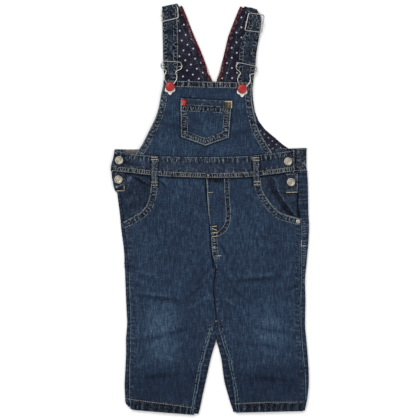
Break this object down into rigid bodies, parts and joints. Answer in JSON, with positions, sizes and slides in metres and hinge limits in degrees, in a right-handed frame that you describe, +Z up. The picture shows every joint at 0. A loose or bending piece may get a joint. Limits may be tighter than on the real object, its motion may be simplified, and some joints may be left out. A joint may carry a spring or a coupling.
{
  "type": "toddler's denim bib overalls (dungarees), laid flat",
  "caption": "Small child's denim bib overalls laid flat: trousers with bib, pointed bib pocket, buttoned side openings, and shoulder straps with wire sliders and clips over a dotted lining.",
  "frame": {"origin": "middle of the garment's outline, on the surface it lies on", "axes": "+Z up out of the front, +Y from the hems towards the straps, +X towards the wearer's left side"},
  "size_m": [0.2864, 0.5923, 0.0128],
  "materials": {
    "denim": "washed indigo twill, matte",
    "waist_denim": "washed indigo twill with faded puckers, matte",
    "dotted_lining": "navy woven cotton with small pale dots, matte",
    "binding": "dark red cotton tape, matte",
    "tag_red": "plain red woven tape, matte",
    "label_cream": "plain cream woven tape, matte",
    "silver_wire": "plated wire, satin to bright",
    "silver_button": "pale plated metal, satin",
    "enamel_red": "glossy red enamel",
    "enamel_white": "glossy off-white enamel"
  },
  "bodies": {
    "root": {"back_leg_right": "denim", "back_leg_left": "denim", "front_leg_right": "denim", "front_leg_left": "denim", "pocket_facing_right": "denim", "pocket_facing_left": "denim", "side_placket_right": "waist_denim", "side_placket_left": "waist_denim", "back_waistband": "waist_denim", "front_waistband": "waist_denim", "belt_loop_right": "waist_denim", "belt_loop_left": "waist_denim", "side_button_right_upper": "silver_button", "side_button_right_lower": "silver_button", "side_button_left_upper": "silver_button", "side_button_left_lower": "silver_button", "pocket_rivet": "silver_button", "back_bib": "denim", "back_bib_lining": "dotted_lining", "front_bib": "denim", "bib_pocket": "denim", "pocket_tag": "tag_red", "pocket_label": "label_cream", "strap_right": "denim", "strap_left": "denim", "strap_lining_right": "dotted_lining", "strap_lining_left": "dotted_lining", "neck_binding_right": "binding", "neck_binding_left": "binding", "strap_button_base_right": "enamel_white", "strap_button_base_left": "enamel_white", "strap_button_cap_right": "enamel_red", "strap_button_cap_left": "enamel_red", "clip_frame_right": "silver_wire", "clip_frame_left": "silver_wire", "clip_bar_right": "silver_wire", "clip_bar_left": "silver_wire", "slider_frame_right": "silver_wire", "slider_frame_left": "silver_wire", "slider_bar_right": "silver_wire", "slider_bar_left": "silver_wire"}
  },
  "joints": []
}
